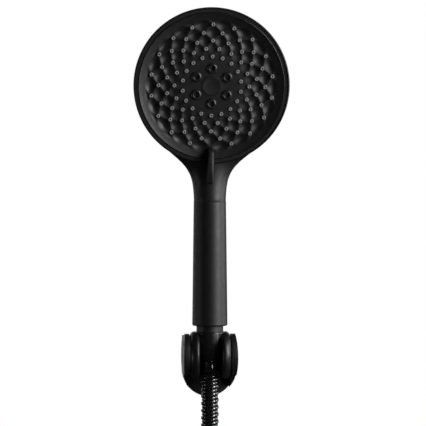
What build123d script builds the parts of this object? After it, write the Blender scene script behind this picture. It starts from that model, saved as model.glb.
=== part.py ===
from build123d import *
import os
from math import cos, pi, radians, sin, tan

# Handheld shower head in its tilting wall bracket, with its metal hose.
# Millimetres. The origin is the middle of the bracket's wall face, +Y points into the wall,
# -Y to the person who showers, +Z up. The handle, cone nut and hose share one upright axis.

# ---------------------------------------------------------------- driving dimensions
AXIS_Y = -32.0  # the handle axis stands this far off the wall
FIT = 0.05  # radial running clearance

# wall bracket
BRACKET_HALF_WIDTH = 20.5
BRACKET_TOP = 13.0  # at the wall; the cheeks stand a little higher
BRACKET_SIDE_BULGE = 0.8
BRACKET_BOTTOM_CENTRE = -14.0  # centre of the round lower edge
BLOCK_DEPTH = 12.6  # wall to the face behind the drum
CHEEK_RADIUS = 16.4
CHEEK_INNER = 16.2
PLATE_RADIUS = 14.4
PLATE_THICK = 4.0
WALL_SCREW_SPACING = 16.0
WALL_SCREW_RADIUS = 2.3

# tilting cradle
DRUM_RADIUS = 18.8
DRUM_HALF_LENGTH = 15.2
DRUM_END_RADIUS = 16.5
DRUM_GROOVE_RADIUS = 16.9  # the middle of the drum, between its two rounded shoulders
SLOT_HALF_WIDTH = 8.7  # lets the 14 mm hose pass to the front
PIVOT_RADIUS = 1.6  # the wall between the cone seat and the drum's end is thin, so the pivot is too

# cone nut: three (radius, height) stations on its outside
NUT_TOP = (12.0, 18.2)
NUT_KNEE = (11.7, 9.0)
NUT_BOTTOM = (7.6, -4.6)
SEAT_BOTTOM = -1.0

# handle
THREAD_RADIUS = 10.48  # G1/2 outside thread
INLET_BOTTOM = 9.3
GRIP_BOTTOM = 22.8
GRIP_TOP = 118.8
GRIP_BOTTOM_RADIUS = 13.8
GRIP_TOP_RADIUS = 12.65
GRIP_BORE = 10.3
TUBE_RADIUS = 6.2
TUBE_BORE = 4.0

# head
HEAD_TILT = 10.0  # the spray face looks down by this many degrees
FACE_CENTRE = (0.0, -56.0, 207.5)
HEAD_RADIUS = 60.0
FACE_RADIUS = 56.3
FACE_TURN = -0.6  # play of the spray face in its middle click
HEAD_DEPTH = 24.0
CAVITY_RADIUS = 48.0
CAVITY_DEPTH = 16.5
POCKET_DEPTH = 9.9

# nozzle rings: radius, nozzles, first angle, swept angle; the outer ring leaves the lever's place
NOZZLE_RINGS = [
    (22.7, 18, 90, 360),
    (28.8, 18, 100, 360),
    (34.9, 18, 90, 360),
    (41.0, 18, 100, 360),
    (47.0, 17, 290, 340),
]
NOZZLE_RADIUS = 1.5
NOZZLE_BORE = 0.5
MASSAGE_COUNT = 6
MASSAGE_CIRCLE = 13.6
MASSAGE_RADIUS = 4.0
MASSAGE_BORE = 1.7
SELECTOR_STEP = 25.0

# hose
HOSE_RADIUS = 7.0
HOSE_TOP = -21.0  # centre of the rounded hose end, where it bends
FERRULE_BOTTOM = -13.7
HANK_RUN = 148.0  # straight part of the folds
HANK_TOP_CENTRE = -144.0
STRAND = 14.5  # spacing of neighbouring strands
FOLD_RADIUS = 42.0
TAIL_X = -77.0
TAIL_END = -237.4
TIE_THICK = 1.5
TIE_WIDTH = 5.0

# ---------------------------------------------------------------- shared planes and axes
handle_axis = Axis((0, AXIS_Y, 0), (0, 0, 1))
pivot_axis = Axis((0, AXIS_Y, 0), (1, 0, 0))
face_normal = Vector(0, -cos(radians(HEAD_TILT)), -sin(radians(HEAD_TILT)))
face_axis = Axis(FACE_CENTRE, face_normal)
head_plane = Plane(origin=FACE_CENTRE, x_dir=(1, 0, 0), z_dir=face_normal)
face_x = head_plane.x_dir * cos(radians(FACE_TURN)) + head_plane.y_dir * sin(radians(FACE_TURN))
face_plane = Plane(origin=FACE_CENTRE, x_dir=face_x, z_dir=face_normal)
# half sections: local x is the radius, local y runs along the axis
handle_section = Plane(origin=(0, AXIS_Y, 0), x_dir=(1, 0, 0), z_dir=(0, -1, 0))
head_section = Plane(origin=FACE_CENTRE, x_dir=(1, 0, 0), z_dir=-head_plane.y_dir)
lever_section = Plane(origin=FACE_CENTRE, x_dir=-face_plane.y_dir, z_dir=-face_plane.x_dir)

os.makedirs("parts", exist_ok=True)


def save(piece, name):
    """Label one finished piece and write it as its own STEP file."""
    piece.part.label = name
    export_step(piece.part, f"parts/{name}.step")


def handle_level(height):
    """Level sketch plane centred on the handle axis."""
    return Plane.XY.offset(height).move(Location((0, AXIS_Y, 0)))


def nut_radius(height):
    """Outside radius of the cone nut's lower taper at a height."""
    share = (height - NUT_BOTTOM[1]) / (NUT_KNEE[1] - NUT_BOTTOM[1])
    return NUT_BOTTOM[0] + share * (NUT_KNEE[0] - NUT_BOTTOM[0])


# ================================================================ wall bracket
# Body: a shield-shaped block against the wall with two cheeks that carry the drum.
shield_bottom = BRACKET_BOTTOM_CENTRE - BRACKET_HALF_WIDTH

with BuildPart() as bracket_body:
    with BuildSketch(Plane.XZ):
        with BuildLine():
            for side in (-1, 1):
                ThreePointArc(
                    (side * BRACKET_HALF_WIDTH, BRACKET_BOTTOM_CENTRE),
                    (side * (BRACKET_HALF_WIDTH + BRACKET_SIDE_BULGE / 2), 0),
                    (side * (BRACKET_HALF_WIDTH - BRACKET_SIDE_BULGE), CHEEK_RADIUS + 0.1),
                )
            Line(
                (-BRACKET_HALF_WIDTH + BRACKET_SIDE_BULGE, CHEEK_RADIUS + 0.1),
                (BRACKET_HALF_WIDTH - BRACKET_SIDE_BULGE, CHEEK_RADIUS + 0.1),
            )
            ThreePointArc(
                (BRACKET_HALF_WIDTH, BRACKET_BOTTOM_CENTRE),
                (0, shield_bottom),
                (-BRACKET_HALF_WIDTH, BRACKET_BOTTOM_CENTRE),
            )
        make_face()
    extrude(amount=-AXIS_Y + CHEEK_RADIUS)
    # seen from the side: round cheeks in front, the full block at the wall
    with BuildSketch(Plane.YZ.offset(-BRACKET_HALF_WIDTH - 1)):
        with Locations((AXIS_Y, 0)):
            Circle(CHEEK_RADIUS)
        with BuildLine():
            Polyline(
                (0, BRACKET_TOP),
                (0, shield_bottom),
                (-BLOCK_DEPTH, shield_bottom),
                (AXIS_Y + 1.5, -CHEEK_RADIUS + 0.1),
                (AXIS_Y, BRACKET_TOP),
                close=True,
            )
        make_face()
    extrude(amount=2 * BRACKET_HALF_WIDTH + 2, mode=Mode.INTERSECT)
    # room for the drum and for the hose below it
    with BuildSketch(Plane.YZ.offset(-CHEEK_INNER)):
        with Locations((AXIS_Y, 0)):
            Circle(-AXIS_Y - BLOCK_DEPTH)
        with Locations((AXIS_Y - 10, 0)):
            Rectangle(2 * (-AXIS_Y + 10 - BLOCK_DEPTH), 100)
    extrude(amount=2 * CHEEK_INNER, mode=Mode.SUBTRACT)
    # pocket for the wall plate, grub screw bore, pivot holes and cap recesses
    with BuildSketch(Plane.XZ):
        Circle(PLATE_RADIUS + FIT)
    extrude(amount=PLATE_THICK + FIT, mode=Mode.SUBTRACT)
    with BuildSketch(Plane.XY.offset(shield_bottom - 1)):
        with Locations((0, -PLATE_THICK / 2)):
            Circle(1.25)
    extrude(amount=-shield_bottom + 1 - PLATE_RADIUS + 1, mode=Mode.SUBTRACT)
    with BuildSketch(Plane.YZ.offset(-BRACKET_HALF_WIDTH - 1)):
        with Locations((AXIS_Y, 0)):
            Circle(PIVOT_RADIUS + FIT)
    extrude(amount=2 * BRACKET_HALF_WIDTH + 2, mode=Mode.SUBTRACT)
    for side in (-1, 1):
        with BuildSketch(Plane.YZ.offset(side * (BRACKET_HALF_WIDTH - 2.2))):
            with Locations((AXIS_Y, 0)):
                Circle(11.0 + FIT)
        extrude(amount=side * 4, mode=Mode.SUBTRACT)
save(bracket_body, "bracket_body")

# Wall plate: the round plate that is screwed to the wall first.
with BuildPart() as wall_plate:
    with BuildSketch(Plane.XZ):
        Circle(PLATE_RADIUS)
        with GridLocations(1, WALL_SCREW_SPACING, 1, 2):
            Circle(WALL_SCREW_RADIUS, mode=Mode.SUBTRACT)
    extrude(amount=PLATE_THICK)
    # cone point seat of the grub screw
    with BuildSketch(Plane.XY.offset(-PLATE_RADIUS - 1)):
        with Locations((0, -PLATE_THICK / 2)):
            Circle(1.25)
    extrude(amount=2, mode=Mode.SUBTRACT)
save(wall_plate, "wall_plate")

# Grub screw: comes up from below and locks the body on its plate.
with BuildPart() as plate_grub_screw:
    with BuildSketch(Plane.XY.offset(-PLATE_RADIUS + 0.9)):
        with Locations((0, -PLATE_THICK / 2)):
            Circle(1.2)
    extrude(amount=-10)
    with BuildSketch(Plane.XY.offset(-PLATE_RADIUS + 0.9 - 10)):
        with Locations((0, -PLATE_THICK / 2)):
            RegularPolygon(0.75, 6)
    extrude(amount=2, mode=Mode.SUBTRACT)
save(plate_grub_screw, "plate_grub_screw")

# Side caps: convex covers over the pivot screws, one on each cheek.
with BuildPart() as side_caps:
    for side in (-1, 1):
        with BuildSketch(Plane.YZ.offset(side * (BRACKET_HALF_WIDTH - 0.7))):
            with Locations((AXIS_Y, 0)):
                Circle(11.0)
        extrude(amount=side * 1.0)
save(side_caps, "side_caps")

# Pivot screws: one through each cheek into the end of the drum.
with BuildPart() as pivot_screws:
    for side in (-1, 1):
        with BuildSketch(Plane.YZ.offset(side * (BRACKET_HALF_WIDTH - 2.2))):
            with Locations((AXIS_Y, 0)):
                Circle(PIVOT_RADIUS)
        extrude(amount=-side * (BRACKET_HALF_WIDTH - 2.2 - DRUM_HALF_LENGTH + 2.0))
        with BuildSketch(Plane.YZ.offset(side * (BRACKET_HALF_WIDTH - 2.2))):
            with Locations((AXIS_Y, 0)):
                Circle(3.4)
        extrude(amount=side * 1.3)
save(pivot_screws, "pivot_screws")

# Friction washers: wave washers that hold the drum at the angle it is set to.
with BuildPart() as friction_washers:
    for side in (-1, 1):
        with BuildSketch(Plane.YZ.offset(side * (CHEEK_INNER - 0.05))):
            with Locations((AXIS_Y, 0)):
                Circle(12.0)
                Circle(PIVOT_RADIUS + 0.2, mode=Mode.SUBTRACT)
        extrude(amount=-side * (CHEEK_INNER - DRUM_HALF_LENGTH - 0.1))
save(friction_washers, "friction_washers")

# ================================================================ tilting cradle
# Drum: a short barrel across the bracket, bored for the cone nut, slotted to the front.
with BuildPart() as cradle_drum:
    with BuildSketch(handle_section):
        with BuildLine():
            for side in (-1, 1):
                groove_edge = (side * SLOT_HALF_WIDTH, DRUM_GROOVE_RADIUS)
                shoulder = (side * 10.8, DRUM_RADIUS)
                end_edge = (side * DRUM_HALF_LENGTH, DRUM_END_RADIUS)
                ThreePointArc(groove_edge, (side * 9.4, 18.25), shoulder)
                ThreePointArc(shoulder, (side * 13.5, 18.0), end_edge)
                Line(end_edge, (side * DRUM_HALF_LENGTH, 0))
            Line((-SLOT_HALF_WIDTH, DRUM_GROOVE_RADIUS), (SLOT_HALF_WIDTH, DRUM_GROOVE_RADIUS))
            Line((-DRUM_HALF_LENGTH, 0), (DRUM_HALF_LENGTH, 0))
        make_face()
    revolve(axis=pivot_axis)
    # cone seat with room for its liner, and the wider relief below it
    with BuildSketch(handle_section):
        with BuildLine():
            Polyline(
                (0, 25),
                (NUT_TOP[0] + 1.1, 25),
                (NUT_TOP[0] + 1.1, NUT_TOP[1]),
                (NUT_KNEE[0] + 1.1, NUT_KNEE[1]),
                (nut_radius(SEAT_BOTTOM) + 1.1, SEAT_BOTTOM),
                (11.0, SEAT_BOTTOM),
                (11.0, -25),
                (0, -25),
                close=True,
            )
        make_face()
    revolve(axis=handle_axis, mode=Mode.SUBTRACT)
    # front slot for the hose
    with BuildSketch(Plane.XZ.offset(-AXIS_Y)):
        Rectangle(2 * SLOT_HALF_WIDTH, 60)
    extrude(amount=30, mode=Mode.SUBTRACT)
    # blind pivot holes in both ends
    for side in (-1, 1):
        with BuildSketch(Plane.YZ.offset(side * (DRUM_HALF_LENGTH + 1))):
            with Locations((AXIS_Y, 0)):
                Circle(PIVOT_RADIUS + FIT)
        extrude(amount=-side * 3.3, mode=Mode.SUBTRACT)
save(cradle_drum, "cradle_drum")

# Liner: soft plastic bush in the seat, open at the slot, that grips the cone nut.
with BuildPart() as cradle_liner:
    with BuildSketch(handle_section):
        with BuildLine():
            Polyline(
                (NUT_TOP[0] + FIT, 17.6),
                (NUT_TOP[0] + 1.04, 17.6),
                (NUT_KNEE[0] + 1.04, NUT_KNEE[1]),
                (nut_radius(SEAT_BOTTOM) + 1.04, SEAT_BOTTOM),
                (nut_radius(SEAT_BOTTOM) + FIT, SEAT_BOTTOM),
                (NUT_KNEE[0] + FIT, NUT_KNEE[1]),
                close=True,
            )
        make_face()
    revolve(axis=handle_axis)
    with BuildSketch(Plane.XZ.offset(-AXIS_Y)):
        Rectangle(2 * SLOT_HALF_WIDTH, 60)
    extrude(amount=30, mode=Mode.SUBTRACT)
    # the liner follows the round of the drum, so nothing sticks out at front or back
    with BuildSketch(Plane.YZ.offset(-20)):
        with Locations((AXIS_Y, 0)):
            Circle(DRUM_GROOVE_RADIUS - 0.6)
    extrude(amount=40, mode=Mode.INTERSECT)
save(cradle_liner, "cradle_liner")

# ================================================================ hose end fitting
# Swivel nipple: the handset turns on it, so the hose doesn't twist.
with BuildPart() as swivel_nipple:
    with BuildSketch(handle_section):
        with BuildLine():
            Polyline(
                (3.2, -11.5),
                (3.2, 7.2),
                (9.25, 7.2),
                (9.25, 5.6),
                (5.5, 5.6),
                (5.5, 1.0),
                (4.6, 1.0),
                (4.6, -0.6),
                (5.5, -0.6),
                (5.5, -11.5),
                close=True,
            )
        make_face()
    revolve(axis=handle_axis)
save(swivel_nipple, "swivel_nipple")

# O-ring that seals the nipple in the cone nut.
with BuildPart() as nipple_o_ring:
    with BuildSketch(handle_section):
        with Locations((5.08, 0.2)):
            Circle(0.46)
    revolve(axis=handle_axis)
save(nipple_o_ring, "nipple_o_ring")

# Ferrule: pressed sleeve that holds the hose on the nipple.
with BuildPart() as hose_ferrule:
    with BuildSketch(handle_section):
        with BuildLine():
            Polyline(
                (3.2, FERRULE_BOTTOM),
                (3.2, -11.5),
                (5.5, -11.5),
                (5.5, -5.0),
                (6.1, -5.0),
                (6.6, -5.6),
                (6.6, FERRULE_BOTTOM),
                close=True,
            )
        make_face()
    revolve(axis=handle_axis)
save(hose_ferrule, "hose_ferrule")

# Cone nut: G1/2 nut whose outside is the taper that sits in the cradle.
with BuildPart() as cone_nut:
    with BuildSketch(handle_section):
        with BuildLine():
            Polyline(
                (5.55, NUT_BOTTOM[1]),
                (NUT_BOTTOM[0], NUT_BOTTOM[1]),
                NUT_KNEE,
                NUT_TOP,
                (THREAD_RADIUS + FIT, NUT_TOP[1]),
                (THREAD_RADIUS + FIT, INLET_BOTTOM),
                (9.3, INLET_BOTTOM),
                (9.3, 5.5),
                (5.55, 5.5),
                close=True,
            )
        make_face()
    revolve(axis=handle_axis)
    nut_rim = cone_nut.edges().group_by(Axis.Z)[-1].sort_by(SortBy.LENGTH)[-1]
    fillet(nut_rim, 0.8)
save(cone_nut, "cone_nut")

# Sealing washer between the nipple's flange and the handset's inlet.
with BuildPart() as hose_washer:
    with BuildSketch(handle_level(7.25)):
        Circle(9.2)
        Circle(5.0, mode=Mode.SUBTRACT)
    extrude(amount=INLET_BOTTOM - 7.25)
save(hose_washer, "hose_washer")

# ================================================================ handle
# Grip: straight tapered sleeve with softened ends.
with BuildPart() as grip_sleeve:
    with BuildSketch(handle_section):
        with BuildLine():
            Polyline(
                (GRIP_BORE, GRIP_BOTTOM),
                (GRIP_BOTTOM_RADIUS, GRIP_BOTTOM),
                (GRIP_TOP_RADIUS, GRIP_TOP),
                (GRIP_BORE, GRIP_TOP),
                close=True,
            )
        make_face()
    revolve(axis=handle_axis)
    lower_rim = grip_sleeve.edges().group_by(Axis.Z)[0].sort_by(SortBy.LENGTH)[-1]
    fillet(lower_rim, 1.2)
save(grip_sleeve, "grip_sleeve")

# Inlet insert: threaded spigot fixed in the lower end of the grip.
with BuildPart() as inlet_insert:
    with BuildSketch(handle_section):
        with BuildLine():
            Polyline(
                (7.5, INLET_BOTTOM),
                (THREAD_RADIUS - 0.8, INLET_BOTTOM),
                (THREAD_RADIUS, INLET_BOTTOM + 0.8),
                (THREAD_RADIUS, GRIP_BOTTOM),
                (GRIP_BORE - FIT, GRIP_BOTTOM),
                (GRIP_BORE - FIT, 50),
                (TUBE_RADIUS + FIT, 50),
                (TUBE_RADIUS + FIT, 38),
                (TUBE_BORE, 38),
                (TUBE_BORE, 34),
                (7.5, 34),
                close=True,
            )
        make_face()
    revolve(axis=handle_axis)
save(inlet_insert, "inlet_insert")

# Filter screen: fine mesh disc at the water's way in.
with BuildPart() as filter_screen:
    with BuildSketch(handle_level(INLET_BOTTOM + 0.6)):
        Circle(7.4)
        for ring_radius, holes in ((2.0, 6), (4.0, 12), (6.0, 18)):
            with PolarLocations(ring_radius, holes):
                Circle(0.55, mode=Mode.SUBTRACT)
    extrude(amount=0.8)
save(filter_screen, "filter_screen")

# Flow regulator: plastic disc with a ring of small ports.
with BuildPart() as flow_regulator:
    with BuildSketch(handle_level(11.2)):
        Circle(7.4)
        with PolarLocations(4.2, 8):
            Circle(0.9, mode=Mode.SUBTRACT)
    extrude(amount=4.0)
save(flow_regulator, "flow_regulator")

# Check valve cage: seat below, spider above.
with BuildPart() as check_valve_cage:
    with BuildSketch(handle_section):
        with BuildLine():
            Polyline((3.0, 16), (7.4, 16), (7.4, 31), (5.2, 31), (5.2, 18), (3.0, 18), close=True)
        make_face()
    revolve(axis=handle_axis)
    with BuildSketch(handle_level(29.5)):
        Rectangle(10.8, 1.6)
        Rectangle(1.6, 10.8)
        Circle(2.2)
        Circle(1.25, mode=Mode.SUBTRACT)
    extrude(amount=1.5)
save(check_valve_cage, "check_valve_cage")

# Poppet: disc and stem, lifted off its seat by the water.
with BuildPart() as check_valve_poppet:
    with BuildSketch(handle_section):
        with BuildLine():
            Polyline(
                (0, 18.05), (4.2, 18.05), (4.2, 19.6), (1.2, 19.6), (1.2, 30.5), (0, 30.5), close=True
            )
        make_face()
    revolve(axis=handle_axis)
save(check_valve_poppet, "check_valve_poppet")

# Its return spring, between the poppet and the spider.
with BuildPart() as check_valve_spring:
    with BuildLine(handle_level(19.9)):
        valve_coil = Helix(pitch=1.5, height=9.3, radius=2.6)
    with BuildSketch(Plane(origin=valve_coil @ 0, z_dir=valve_coil % 0)):
        Circle(0.25)
    sweep(is_frenet=True)
save(check_valve_spring, "check_valve_spring")

# Water tube: inner pipe from the inlet insert up into the neck.
TUBE_BOTTOM = 38.1
TUBE_TOP = 131.9
GROOVE_DEPTH = 1.0
with BuildPart() as water_tube:
    with BuildSketch(handle_level(TUBE_BOTTOM)):
        Circle(TUBE_RADIUS)
        Circle(TUBE_BORE, mode=Mode.SUBTRACT)
    extrude(amount=TUBE_TOP - TUBE_BOTTOM)
    for height in (43, 47, 123, 127):
        with BuildSketch(handle_level(height - 0.65)):
            Circle(TUBE_RADIUS + 1)
            Circle(TUBE_RADIUS - GROOVE_DEPTH, mode=Mode.SUBTRACT)
        extrude(amount=1.3, mode=Mode.SUBTRACT)
save(water_tube, "water_tube")

# O-rings in the tube's grooves, two at each end.
with BuildPart() as tube_o_rings:
    for height in (43, 47, 123, 127):
        with BuildSketch(handle_section):
            with Locations((TUBE_RADIUS - GROOVE_DEPTH / 2 + 0.02, height)):
                Circle(0.5)
        revolve(axis=handle_axis)
save(tube_o_rings, "tube_o_rings")

# ================================================================ head
# Rear housing: domed back of the head and the flared neck, one moulding.
# Neck stations: height, half width, then front, widest and back as distances along Y.
NECK = [
    (GRIP_TOP, GRIP_TOP_RADIUS, -44.65, -32.0, -19.35),
    (127.0, 12.85, -44.5, -32.0, -19.3),
    (135.0, 13.9, -44.1, -32.3, -19.6),
    (142.5, 16.7, -44.3, -33.5, -20.6),
    (149.0, 21.6, -45.0, -36.0, -22.2),
    (154.0, 27.2, -46.2, -39.5, -24.0),
    (158.0, 32.0, -47.0, -42.5, -25.8),
    (162.0, 35.6, -47.5, -44.0, -28.6),
]

with BuildPart() as rear_housing:
    with BuildSketch(head_section):
        with BuildLine():
            Polyline((0, -HEAD_DEPTH), (0, -1), (59.2, -1), (59.2, 0), (HEAD_RADIUS, -0.8))
            Line((HEAD_RADIUS, -0.8), (HEAD_RADIUS, -5.0))
            ThreePointArc((HEAD_RADIUS, -5.0), (57.0, -13.4), (48.5, -19.2))
            ThreePointArc((48.5, -19.2), (25.0, -23.1), (0, -HEAD_DEPTH))
        make_face()
    revolve(axis=face_axis)
    for height, half_width, front, widest, back in NECK:
        with BuildSketch(Plane.XY.offset(height)):
            with BuildLine():
                EllipticalCenterArc((0, widest), half_width, back - widest, 0, arc_size=180)
                EllipticalCenterArc((0, widest), half_width, widest - front, 180, arc_size=180)
            make_face()
    loft()
    # spigot that plugs into the grip
    with BuildSketch(handle_level(104)):
        Circle(GRIP_BORE - FIT)
    extrude(amount=GRIP_TOP + 2 - 104)
    # pocket of the spray face, and the water chamber behind it
    with BuildSketch(head_plane):
        Circle(FACE_RADIUS + 0.3)
    extrude(amount=-POCKET_DEPTH, mode=Mode.SUBTRACT)
    with BuildSketch(head_plane):
        Circle(FACE_RADIUS + 0.3)
    extrude(amount=8, mode=Mode.SUBTRACT)
    with BuildSketch(head_plane):
        Circle(CAVITY_RADIUS)
    extrude(amount=-CAVITY_DEPTH, mode=Mode.SUBTRACT)
    # bore of the water tube, and the way on into the chamber
    with BuildSketch(handle_level(103)):
        Circle(TUBE_RADIUS + FIT)
    extrude(amount=132 - 103, mode=Mode.SUBTRACT)
    with BuildSketch(handle_level(131)):
        Circle(TUBE_BORE)
    extrude(amount=34, mode=Mode.SUBTRACT)
    # three screw bosses are blind holes in the chamber's floor
    with BuildSketch(head_plane.offset(-CAVITY_DEPTH + 1)):
        with PolarLocations(32, 3, 30):
            Circle(1.3)
    extrude(amount=-5, mode=Mode.SUBTRACT)
save(rear_housing, "rear_housing")

# Diverter base: fixed plate with the water ports and the stem that the face turns on.
BASE_BACK = -15.9
BASE_FRONT = -12.4
STEM_RADIUS = 4.5
with BuildPart() as diverter_base:
    with BuildSketch(head_plane.offset(BASE_BACK)):
        Circle(CAVITY_RADIUS - 1.3)
        with PolarLocations(22, 3, 90):
            Circle(2.6, mode=Mode.SUBTRACT)
    extrude(amount=BASE_FRONT - BASE_BACK)
    with BuildSketch(head_plane.offset(BASE_FRONT)):
        Circle(STEM_RADIUS)
    extrude(amount=-5.95 - BASE_FRONT)
    # seal pockets, detent bore, screw holes and the centre screw's bore
    with BuildSketch(head_plane.offset(BASE_FRONT)):
        with PolarLocations(22, 3, 90):
            Circle(5.0)
    extrude(amount=-2.6, mode=Mode.SUBTRACT)
    with BuildSketch(head_plane.offset(BASE_FRONT)):
        with Locations((0, 36)):
            Circle(4.4)
    extrude(amount=1.6)
    with BuildSketch(head_plane.offset(BASE_FRONT + 1.6)):
        with Locations((0, 36)):
            Circle(2.0)
    extrude(amount=-4.4, mode=Mode.SUBTRACT)
    with BuildSketch(head_plane.offset(BASE_FRONT)):
        with PolarLocations(32, 3, 30):
            Circle(1.4)
    extrude(amount=-6, mode=Mode.SUBTRACT)
    with BuildSketch(head_plane.offset(-5.95)):
        Circle(1.55)
    extrude(amount=-9, mode=Mode.SUBTRACT)
    # groove of the rim seal
    with BuildSketch(head_section):
        with Locations((CAVITY_RADIUS - 1.3, -14.1)):
            Rectangle(1.6, 1.8)
    revolve(axis=face_axis, mode=Mode.SUBTRACT)
save(diverter_base, "diverter_base")

# Rim seal of the base.
with BuildPart() as base_o_ring:
    with BuildSketch(head_section):
        with Locations((CAVITY_RADIUS - 0.95, -14.1)):
            Circle(0.85)
    revolve(axis=face_axis)
save(base_o_ring, "base_o_ring")

# Three screws that hold the base in the housing.
with BuildPart() as base_screws:
    with BuildSketch(head_plane.offset(BASE_FRONT + 1.2)):
        with PolarLocations(32, 3, 30):
            Circle(2.4)
    extrude(amount=-1.2)
    with BuildSketch(head_plane.offset(BASE_FRONT)):
        with PolarLocations(32, 3, 30):
            Circle(1.2)
    extrude(amount=-7.6)
save(base_screws, "base_screws")

# Port seals: rubber cups pressed against the back of the turning plate.
with BuildPart() as port_seals:
    with BuildSketch(head_plane.offset(-9.62)):
        with PolarLocations(22, 3, 90):
            Circle(4.85)
        with PolarLocations(22, 3, 90):
            Circle(2.6, mode=Mode.SUBTRACT)
    extrude(amount=-3.6)
save(port_seals, "port_seals")

# Springs behind the seals.
with BuildPart() as seal_springs:
    for angle in (90, 210, 330):
        port = (22 * cos(radians(angle)), 22 * sin(radians(angle)), -14.7)
        foot = head_plane.from_local_coords(port)
        with BuildLine():
            seal_coil = Helix(pitch=0.6, height=1.2, radius=3.6, center=foot, direction=face_normal)
        with BuildSketch(Plane(origin=seal_coil @ 0, z_dir=seal_coil % 0)):
            Circle(0.2)
        sweep(is_frenet=True)
save(seal_springs, "seal_springs")

# Detent plunger: spring-loaded pin that clicks into notches behind the turning plate.
with BuildPart() as detent_plunger:
    with BuildSketch(head_plane.offset(-9.65)):
        with Locations((0, 36)):
            Circle(1.9)
    extrude(amount=-3.2)
    nose = detent_plunger.edges().filter_by(GeomType.CIRCLE).sort_by(face_axis)[-1]
    fillet(nose, 0.9)
save(detent_plunger, "detent_plunger")

# The spring under it.
with BuildPart() as detent_spring:
    foot = head_plane.from_local_coords((0, 36, -14.95))
    with BuildLine():
        detent_coil = Helix(pitch=0.6, height=1.85, radius=1.4, center=foot, direction=face_normal)
    with BuildSketch(Plane(origin=detent_coil @ 0, z_dir=detent_coil % 0)):
        Circle(0.17)
    sweep(is_frenet=True)
save(detent_spring, "detent_spring")

# Centre screw and its wide washer: they keep the spray face on the stem.
with BuildPart() as centre_screw:
    with BuildSketch(head_plane.offset(-5.3)):
        Circle(3.6)
    extrude(amount=1.6)
    with BuildSketch(head_plane.offset(-5.3)):
        Circle(1.5)
    extrude(amount=-8.5)
    with BuildSketch(head_plane.offset(-3.7)):
        Rectangle(4.4, 0.9)
        Rectangle(0.9, 4.4)
    extrude(amount=-1.0, mode=Mode.SUBTRACT)
save(centre_screw, "centre_screw")

with BuildPart() as screw_washer:
    with BuildSketch(head_plane.offset(-5.9)):
        Circle(6.4)
        Circle(1.6, mode=Mode.SUBTRACT)
    extrude(amount=0.6)
save(screw_washer, "screw_washer")

# ================================================================ turning spray face
# Face plate: shallow dish, flat in the middle, rising to its edge.
PLATE_BACK = -5.0
with BuildPart() as face_plate:
    with BuildSketch(head_section):
        with BuildLine():
            Polyline(
                (7.0, PLATE_BACK),
                (7.0, -3.3),
                (7.5, -3.3),
                (7.5, -2.3),
                (48.6, -2.6),
            )
            ThreePointArc((48.6, -2.6), (53.0, -1.9), (FACE_RADIUS - 0.4, -0.5))
            Polyline(
                (FACE_RADIUS - 0.4, -0.5),
                (FACE_RADIUS, -0.9),
                (FACE_RADIUS, -9.4),
                (54.2, -9.4),
                (54.2, PLATE_BACK),
                (7.0, PLATE_BACK),
            )
        make_face()
    revolve(axis=face_axis)
    with BuildSketch(face_plane):
        for ring in NOZZLE_RINGS:
            with PolarLocations(*ring):
                Circle(NOZZLE_RADIUS + 0.1)
        with PolarLocations(MASSAGE_CIRCLE, MASSAGE_COUNT, 30):
            Circle(MASSAGE_RADIUS + 0.02)
    extrude(amount=PLATE_BACK, mode=Mode.SUBTRACT)
    # slot that takes the foot of the lever
    with BuildSketch(face_plane):
        with Locations((0, -52.6)):
            Rectangle(4.3, 4.1)
    extrude(amount=-4.0, mode=Mode.SUBTRACT)
save(face_plate, "face_plate")

# Nozzle mat: one silicone sheet with all the small nozzles, rubbed clean with a thumb.
MAT_BACK = -6.4
with BuildPart() as nozzle_mat:
    with BuildSketch(face_plane.offset(MAT_BACK)):
        Circle(54.0)
        Circle(18.9, mode=Mode.SUBTRACT)
        for ring in NOZZLE_RINGS:
            with PolarLocations(*ring):
                Circle(NOZZLE_BORE, mode=Mode.SUBTRACT)
    extrude(amount=PLATE_BACK - MAT_BACK)
    with BuildSketch(face_plane.offset(PLATE_BACK)):
        for ring in NOZZLE_RINGS:
            with PolarLocations(*ring):
                Circle(NOZZLE_RADIUS)
            with PolarLocations(*ring):
                Circle(NOZZLE_BORE, mode=Mode.SUBTRACT)
    extrude(amount=3.9)
save(nozzle_mat, "nozzle_mat")

# Six large massage nozzles round the middle, pushed in from behind.
with BuildPart() as massage_nozzles:
    with BuildSketch(face_plane.offset(MAT_BACK)):
        with PolarLocations(MASSAGE_CIRCLE, MASSAGE_COUNT, 30):
            Circle(MASSAGE_RADIUS)
        with PolarLocations(MASSAGE_CIRCLE, MASSAGE_COUNT, 30):
            Circle(MASSAGE_BORE, mode=Mode.SUBTRACT)
    extrude(amount=5.6)
    outer_circles = massage_nozzles.edges().filter_by(GeomType.CIRCLE).filter_by(
        lambda edge: edge.radius > MASSAGE_BORE + 0.5
    )
    fillet(outer_circles.sort_by(face_axis)[-MASSAGE_COUNT:], 0.9)
save(massage_nozzles, "massage_nozzles")

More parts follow.
